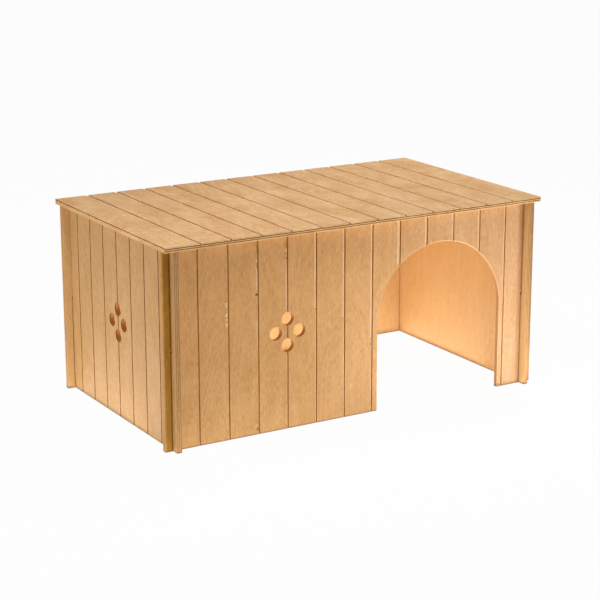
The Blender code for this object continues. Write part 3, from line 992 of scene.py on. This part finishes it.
class RABBITHOUSE_OT_front_wall(bpy.types.Operator):
    """Models the front wall with its doorway, vents and torn veneer"""

    bl_idname = "rabbit_house.front_wall"
    bl_label = "Front Wall"

    def execute(self, context):
        sizes = context.scene.rabbit_house_panels
        # The front gets its painted light and shade
        look = look_of(context, "front", front_marks=True)
        piece, wood = panel_piece("front_wall", FRONT, sizes, 1, look, FRONT_KNOTS_AND_GAP_SHADE)
        cut_slots(piece, FRONT, sizes, wood)
        cut_vents(piece, FRONT, sizes, wood)
        # The doorway's reveal: painted shade over its cut faces, and torn veneer on its outer arris
        reveal_look = dict(look, edge_tint=look["reveal_tint"], bare_arris=REVEAL_ARRIS)
        cut_doorway(piece, FRONT, sizes, birch("reveal_birch", FRONT.place, reveal_look, 1))
        weather_grooves(piece, sizes, look)
        set_panel(piece, FRONT, "walls")
        return {"FINISHED"}


class RABBITHOUSE_OT_back_wall(bpy.types.Operator):
    """Models the plain grooved back wall"""

    bl_idname = "rabbit_house.back_wall"
    bl_label = "Back Wall"

    def execute(self, context):
        sizes = context.scene.rabbit_house_panels
        piece, wood = panel_piece("back_wall", BACK, sizes, 2, look_of(context, "front"))
        cut_slots(piece, BACK, sizes, wood)
        set_panel(piece, BACK, "walls")
        return {"FINISHED"}


class RABBITHOUSE_OT_side_walls(bpy.types.Operator):
    """Models the two side walls, the left one with vents"""

    bl_idname = "rabbit_house.side_walls"
    bl_label = "Side Walls"

    def execute(self, context):
        sizes = context.scene.rabbit_house_panels
        look = look_of(context, "side", groove_reach=(LEFT.half_row - PANEL_END) * PER_METRE)
        for name, sheet, seed in (("left_wall", LEFT, 3), ("right_wall", RIGHT, 4)):
            piece, wood = panel_piece(name, sheet, sizes, seed, look)
            cut_slots(piece, sheet, sizes, wood)
            if sheet is LEFT:
                cut_vents(piece, sheet, sizes, wood)
            set_panel(piece, sheet, "walls")
        return {"FINISHED"}


class RABBITHOUSE_OT_roof_board(bpy.types.Operator):
    """Models the loose roof board"""

    bl_idname = "rabbit_house.roof_board"
    bl_label = "Roof Board"

    def execute(self, context):
        sizes = context.scene.rabbit_house_panels
        look = look_of(context, "roof", end_fade=0.65, mottle=0.36, ripple=0.20, figure=0.03)
        look["edge_tint"] = look["roof_edge_tint"]
        piece, wood = panel_piece("roof_board", ROOF, sizes, 5, look)
        chip_exits(piece, ROOF, sizes, wood)
        set_panel(piece, ROOF, "roof")
        return {"FINISHED"}


# Battens and screws

# Softwood in millimetres: its pith out from the house's middle and up, its rings, and its noise cells
PITH_OUT = 112.0
PITH_UP = 205.0
RING_WIDTH = 2.4
RING_WANDER = 9.0
WANDER_CELL = (90.0, 25.0, 25.0)
SOFT_FIBRE_CELL = (14.0, 0.45, 0.45)
LATE_WOOD = (0.45, 0.9, 0.93, 1.0)
RING_DARKNESS = 0.45
SOFT_FIBRE_SWING = 0.22
SOFT_ROUGHNESS = 0.55
SOFT_FIBRE_ROUGHNESS = 0.2

# Zinc: its cells in millimetres and how its duller clouds set in
CLOUD_CELL = (1.2, 1.2, 1.2)
SCRATCH_CELL = (0.25, 0.25, 0.25)
CLOUDS = (0.45, 0.75)
CLOUD_SHARE = 0.6
CLOUD_ROUGHNESS = 0.2
ZINC_ROUGHNESS = 0.28
SCRATCH_STRENGTH = 0.15
SCRATCH_RELIEF = 0.02 * MM

# A screw: radius of its point, plain neck under its head, steepness of its thread and taper of its recess
POINT_RADIUS = 0.05 * MM
NECK = 0.8 * MM
THREAD_STEEPNESS = 4.0
RECESS_TAPER = 0.55


def softwood(name, finish, seed):
    """Planed softwood: wide rings about a pith below the batten, fine fibres along it."""
    surface = Surface(bpy.data.materials.new(name))
    spot = surface.spot()
    wander = surface.noise(spot, WANDER_CELL, seed) - 0.5
    out = abs(spot[1]) - PITH_OUT + wander * RING_WANDER
    up = spot[2] - PITH_UP
    ring = ((out * out + up * up) ** 0.5 / RING_WIDTH).modulo(1.0)
    fibres = surface.noise(spot, SOFT_FIBRE_CELL, seed, detail=3.0)
    late = ring.between(*LATE_WOOD) * RING_DARKNESS
    wood = surface.mix(tuple(finish.batten_colour), tuple(finish.ring_colour), late)
    wood = wood * (1.0 + (fibres - 0.5) * SOFT_FIBRE_SWING)
    surface.coat(wood, SOFT_ROUGHNESS + (fibres - 0.5) * SOFT_FIBRE_ROUGHNESS, fibres)
    return surface.owner


def zinc_steel(finish):
    """Bright zinc on steel, slightly dull and clouded."""
    surface = Surface(bpy.data.materials.new("zinc_steel"))
    spot = surface.spot()
    clouds = surface.noise(spot, CLOUD_CELL, detail=3.0)
    scratches = surface.noise(spot, SCRATCH_CELL, detail=1.0)
    dull = clouds.rise(*CLOUDS) * CLOUD_SHARE
    steel = surface.mix(tuple(finish.steel_colour), tuple(finish.cloud_colour), dull)
    roughness = ZINC_ROUGHNESS + clouds * CLOUD_ROUGHNESS
    surface.coat(steel, roughness, scratches, SCRATCH_STRENGTH, SCRATCH_RELIEF)
    surface.shader.inputs["Metallic"].default_value = 1.0
    return surface.owner


def screw_nodes(side):
    return [f"{side}_batten_screw_{index}" for index in range(1, 5)]


def screw_axis(node):
    low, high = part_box(node)
    return (low + high) / 2


def cut_screw_hole(batten, screw, sizes, low, high, wood):
    """A clearance bore through the batten and a sink for the screw's head in its lower face."""
    screw_low, screw_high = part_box(screw)
    centre = screw_axis(screw)
    head = (screw_high.x - screw_low.x) / 2 + sizes.screw_clearance
    hole = sizes.shank_radius + sizes.screw_clearance
    middle = (centre.x, centre.y, (low.z + high.z) / 2)
    cut(batten, rod("bore", middle, hole, high.z - low.z + 2 * OVERRUN, BORE_SIDES, wood))
    sink_low = low.z - OVERRUN
    sink_high = screw_low.z + sizes.head_height
    middle = (centre.x, centre.y, (sink_low + sink_high) / 2)
    slope = (head - hole) / (sizes.head_height - sizes.head_rim)
    wide = head + slope * (screw_low.z + sizes.head_rim - sink_low)
    cut(batten, rod("sink", middle, wide, sink_high - sink_low, BORE_SIDES, wood, tip_radius=hole))


class RABBITHOUSE_OT_battens(bpy.types.Operator):
    """Models the two battens under the roof, with countersunk screw holes"""

    bl_idname = "rabbit_house.battens"
    bl_label = "Roof Battens"

    def execute(self, context):
        sizes = context.scene.rabbit_house_fixings
        finish = context.scene.rabbit_house_finish
        for side, seed in (("front", 6), ("rear", 7)):
            node = f"{side}_roof_batten"
            low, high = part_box(node)
            wood = softwood(f"{side}_softwood", finish, seed)
            batten = block(f"{side}_batten", low, high, wood)
            round_edges(batten, sizes.batten_round, 4, axis=0)
            for screw in screw_nodes(side):
                cut_screw_hole(batten, screw, sizes, low, high, wood)
            finish_piece(batten, "roof", node)
        return {"FINISHED"}


def screw_profile(sizes, height, head_radius):
    """Half outline of a screw from the rim of its head's face to its point, head down."""
    core = sizes.shank_radius - sizes.thread_depth
    return [
        (head_radius, 0.0),
        (head_radius, sizes.head_rim),
        (core, sizes.head_height),
        (core, height - sizes.point_length),
        (POINT_RADIUS, height),
    ]


def profile_radius(profile, level):
    """Radius of a turned outline at one level."""
    for (radius, start), (next_radius, end) in zip(profile, profile[1:]):
        if level <= end + TOUCH:
            share = 0.0 if end - start < TOUCH else max(0.0, level - start) / (end - start)
            return radius + (next_radius - radius) * min(1.0, share)
    return profile[-1][0]


def turned_screw(name, node, sizes, steel):
    """A countersunk wood screw, head down: a turned blank, a thread raised on it and a cross recess."""
    low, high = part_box(node)
    centre = screw_axis(node)
    height = high.z - low.z
    head_radius = (high.x - low.x) / 2
    screw = rod(name, (0.0, 0.0, height / 2), head_radius, height, SCREW_SIDES, steel)
    start = sizes.head_height + NECK
    profile = screw_profile(sizes, height, head_radius)
    levels = [level for radius, level in profile[1:-1]]
    levels += [start + (height - start) * index / THREAD_RINGS for index in range(1, THREAD_RINGS)]
    with editing(screw):
        for level in levels:
            ring_cut((0.0, 0.0, level), (0.0, 0.0, 1.0))
    for vertex in screw.data.vertices:
        spot = vertex.co
        angle = math.atan2(spot.y, spot.x)
        radius = profile_radius(profile, spot.z)
        if start < spot.z < height - TOUCH:
            turn = (spot.z / sizes.thread_pitch - angle / FULL_TURN) % 1.0
            ridge = max(0.0, 1.0 - abs(turn - 0.5) * THREAD_STEEPNESS)
            fade = min(1.0, (spot.z - start) / sizes.thread_pitch)
            taper = min(1.0, (height - spot.z) / sizes.point_length)
            radius += sizes.thread_depth * ridge * fade * taper
        spot.x = radius * math.cos(angle)
        spot.y = radius * math.sin(angle)
    cut_recess(screw, sizes, steel)
    screw.location = (centre.x, centre.y, low.z)
    settle(screw)
    return screw


def cut_recess(screw, sizes, steel):
    """The cross recess of a screw's head: two bars that narrow towards its floor."""
    half_span = sizes.recess_span / 2
    half_width = sizes.recess_width / 2
    floor = (0.0, 0.0, sizes.recess_depth)
    for bar_x, bar_y in ((half_span, half_width), (half_width, half_span)):
        bar = block("recess", (-bar_x, -bar_y, -OVERRUN), (bar_x, bar_y, sizes.recess_depth), steel)
        with editing(bar):
            pick_faces(bar, lambda point: point.z > 0.0)
            bpy.ops.transform.resize(value=(RECESS_TAPER, RECESS_TAPER, 1.0), center_override=floor)
        cut(screw, bar)


class RABBITHOUSE_OT_screws(bpy.types.Operator):
    """Turns one countersunk screw and copies it to every place"""

    bl_idname = "rabbit_house.screws"
    bl_label = "Batten Screws"

    def execute(self, context):
        sizes = context.scene.rabbit_house_fixings
        steel = zinc_steel(context.scene.rabbit_house_finish)
        nodes = screw_nodes("front") + screw_nodes("rear")
        first = turned_screw("first_screw", nodes[0], sizes, steel)
        start = screw_axis(nodes[0])
        for node in nodes:
            name = node.replace("_batten_screw_", "_screw_")
            screw = copied(first, name, screw_axis(node) - start)
            finish_piece(screw, "roof", node, TURNED_SMOOTH_ANGLE)
        bpy.data.objects.remove(first)
        return {"FINISHED"}


# Stage

FLOOR_DROP = 0.2 * MM
FLOOR_ROUGHNESS = 0.9
SEE_FAR = 100.0

# Softboxes: name, place, spot it points at, width, height and power. The low ones make a light table, each at
# a height of its own, because lamps in one plane hide each other
LAMPS = (
    ("key_lamp", (1.00, -1.30, 0.12), (0.10, -0.10, 0.08), 0.50, 0.20, 7.4),
    ("top_lamp", (0.48, 0.14, 1.00), (0.08, 0.0, 0.24), 0.50, 0.40, 6.3),
    ("top_left_lamp", (-0.70, 0.10, 0.80), (-0.20, 0.0, 0.24), 0.30, 0.40, 0.75),
    ("near_lamp", (-0.30, -0.25, 0.90), (-0.15, -0.10, 0.24), 0.30, 0.20, 3.4),
    ("left_lamp", (-0.90, -0.30, 0.12), (-0.25, -0.05, 0.10), 0.30, 0.20, 0.55),
    ("table_middle", (0.0, 0.0, 0.0010), (0.0, 0.0, 0.2), 0.75, 0.50, 1.28),
    ("table_left", (-0.62, 0.0, 0.0014), (-0.62, 0.0, 0.2), 0.30, 0.50, 1.62),
    ("table_foot", (-0.355, 0.04, 0.0038), (-0.355, 0.04, 0.2), 0.20, 0.24, 0.09),
    ("table_right", (0.37, -0.10, 0.0018), (0.37, -0.10, 0.2), 0.20, 0.32, 0.45),
    ("table_door", (0.12, -0.30, 0.0022), (0.12, -0.30, 0.2), 0.20, 0.20, 0.33),
    ("table_front", (0.22, -0.24, 0.0026), (0.22, -0.24, 0.2), 0.26, 0.19, 0.14),
    ("table_near", (-0.15, -0.60, 0.0034), (-0.15, -0.60, 0.2), 0.40, 0.30, 0.38),
    ("inside_lamp", (0.0, 0.03, 0.0030), (0.0, 0.03, 0.2), 0.49, 0.20, 0.315),
)


def seen_by(surface, *rays):
    """1 for the kinds of ray that are named and 0 for all others."""
    path = surface.node("ShaderNodeLightPath").socket.node.outputs
    seen = Wire(surface, path[rays[0]])
    for ray in rays[1:]:
        seen = seen.at_least(Wire(surface, path[ray]))
    return seen


def floor_material(stage):
    """Plain pale floor that the camera and mirrors see nearly white, with the object's soft shadow kept."""
    surface = Surface(bpy.data.materials.new("studio_floor"))
    pale = opaque(tuple(stage.floor_colour))
    finish = {"Base Color": pale, "Roughness": FLOOR_ROUGHNESS, "Specular IOR Level": 0.0}
    surface.feed(surface.shader, finish)
    seen = seen_by(surface, "Is Camera Ray", "Is Glossy Ray", "Is Transmission Ray")
    glow = surface.node("ShaderNodeEmission", values={"Color": WHITE, "Strength": 1.0})
    plain = Wire(surface, surface.shader.outputs[0])
    mixed = surface.node("ShaderNodeMixShader", values={0: seen * stage.floor_glow, 1: plain, 2: glow})
    surface.feed(surface.tree.nodes["Material Output"], {"Surface": mixed})
    return surface.owner


def white_world(stage):
    """A room that gives only its ambient light and looks white to the camera and through glass."""
    surface = Surface(bpy.data.worlds.new("studio_room"), "Background")
    seen = seen_by(surface, "Is Camera Ray", "Is Transmission Ray")
    values = {"Value": seen, "To Min": stage.ambient, "To Max": 1.0}
    strength = surface.node("ShaderNodeMapRange", values=values)
    surface.feed(surface.shader, {"Color": WHITE, "Strength": strength})
    bpy.context.scene.world = surface.owner


def soft_lamp(name, place, aim, width, height, power):
    """A square softbox that points at a spot and that the camera doesn't see."""
    bpy.ops.object.select_all(action="DESELECT")
    turn = (Vector(aim) - Vector(place)).to_track_quat("-Z", "Y").to_euler()
    bpy.ops.object.light_add(type="AREA", location=place, rotation=turn)
    lamp = bpy.context.object
    lamp.name = name
    lamp.data.shape = "RECTANGLE"
    lamp.data.size = width
    lamp.data.size_y = height
    lamp.data.energy = power
    lamp.visible_camera = False


class RABBITHOUSE_OT_stage(bpy.types.Operator):
    """Lays the floor and sets up the lamps and the camera"""

    bl_idname = "rabbit_house.stage"
    bl_label = "Floor, Lamps and Camera"

    def execute(self, context):
        stage = context.scene.rabbit_house_stage
        bpy.ops.object.select_all(action="DESELECT")
        bpy.ops.mesh.primitive_plane_add(size=2 * stage.floor_reach, location=(0.0, 0.0, -FLOOR_DROP))
        floor = take_primitive("studio_floor", floor_material(stage))
        white_world(stage)
        for name, place, aim, width, height, power in LAMPS:
            soft_lamp(name, place, aim, width, height, power * stage.light_level)
        self.add_camera(context, stage)
        context.scene.view_settings.view_transform = "Standard"
        return {"FINISHED"}

    def add_camera(self, context, stage):
        """Stands the camera where the photograph was taken from."""
        turn = (
            Matrix.Rotation(-stage.camera_yaw, 4, "Z")
            @ Matrix.Rotation(QUARTER - stage.camera_pitch, 4, "X")
            @ Matrix.Rotation(stage.camera_roll, 4, "Z")
        )
        bpy.ops.object.camera_add(location=stage.camera_place, rotation=turn.to_euler())
        camera = bpy.context.object
        camera.name = "photo_camera"
        camera.data.lens = stage.camera_lens
        camera.data.clip_end = SEE_FAR
        context.scene.camera = camera


class RABBITHOUSE_PT_sidebar(bpy.types.Panel):
    """Sizes, colours and the operators of the rabbit house"""

    bl_label = "Rabbit House"
    bl_idname = "RABBITHOUSE_PT_sidebar"
    bl_space_type = "VIEW_3D"
    bl_region_type = "UI"
    bl_category = "Rabbit House"

    def draw(self, context):
        for group in PROPERTY_GROUPS:
            settings = getattr(context.scene, group)
            box = self.layout.box()
            box.label(text=type(settings).__doc__)
            for name in type(settings).__annotations__:
                box.prop(settings, name)
        for operator in OPERATORS:
            self.layout.operator(operator.bl_idname)


PROPERTY_GROUPS = {
    "rabbit_house_panels": RabbitHousePanels,
    "rabbit_house_fixings": RabbitHouseFixings,
    "rabbit_house_finish": RabbitHouseFinish,
    "rabbit_house_stage": RabbitHouseStage,
}

OPERATORS = (
    RABBITHOUSE_OT_front_wall,
    RABBITHOUSE_OT_back_wall,
    RABBITHOUSE_OT_side_walls,
    RABBITHOUSE_OT_roof_board,
    RABBITHOUSE_OT_battens,
    RABBITHOUSE_OT_screws,
    RABBITHOUSE_OT_stage,
)


def register():
    for name, group in PROPERTY_GROUPS.items():
        bpy.utils.register_class(group)
        setattr(bpy.types.Scene, name, PointerProperty(type=group))
    for operator in OPERATORS:
        bpy.utils.register_class(operator)
    bpy.utils.register_class(RABBITHOUSE_PT_sidebar)


def unregister():
    bpy.utils.unregister_class(RABBITHOUSE_PT_sidebar)
    for operator in reversed(OPERATORS):
        bpy.utils.unregister_class(operator)
    for name, group in PROPERTY_GROUPS.items():
        delattr(bpy.types.Scene, name)
        bpy.utils.unregister_class(group)


def main():
    register()
    for operator in OPERATORS:
        group, action = operator.bl_idname.split(".")
        getattr(getattr(bpy.ops, group), action)()


if __name__ == "__main__":
    main()
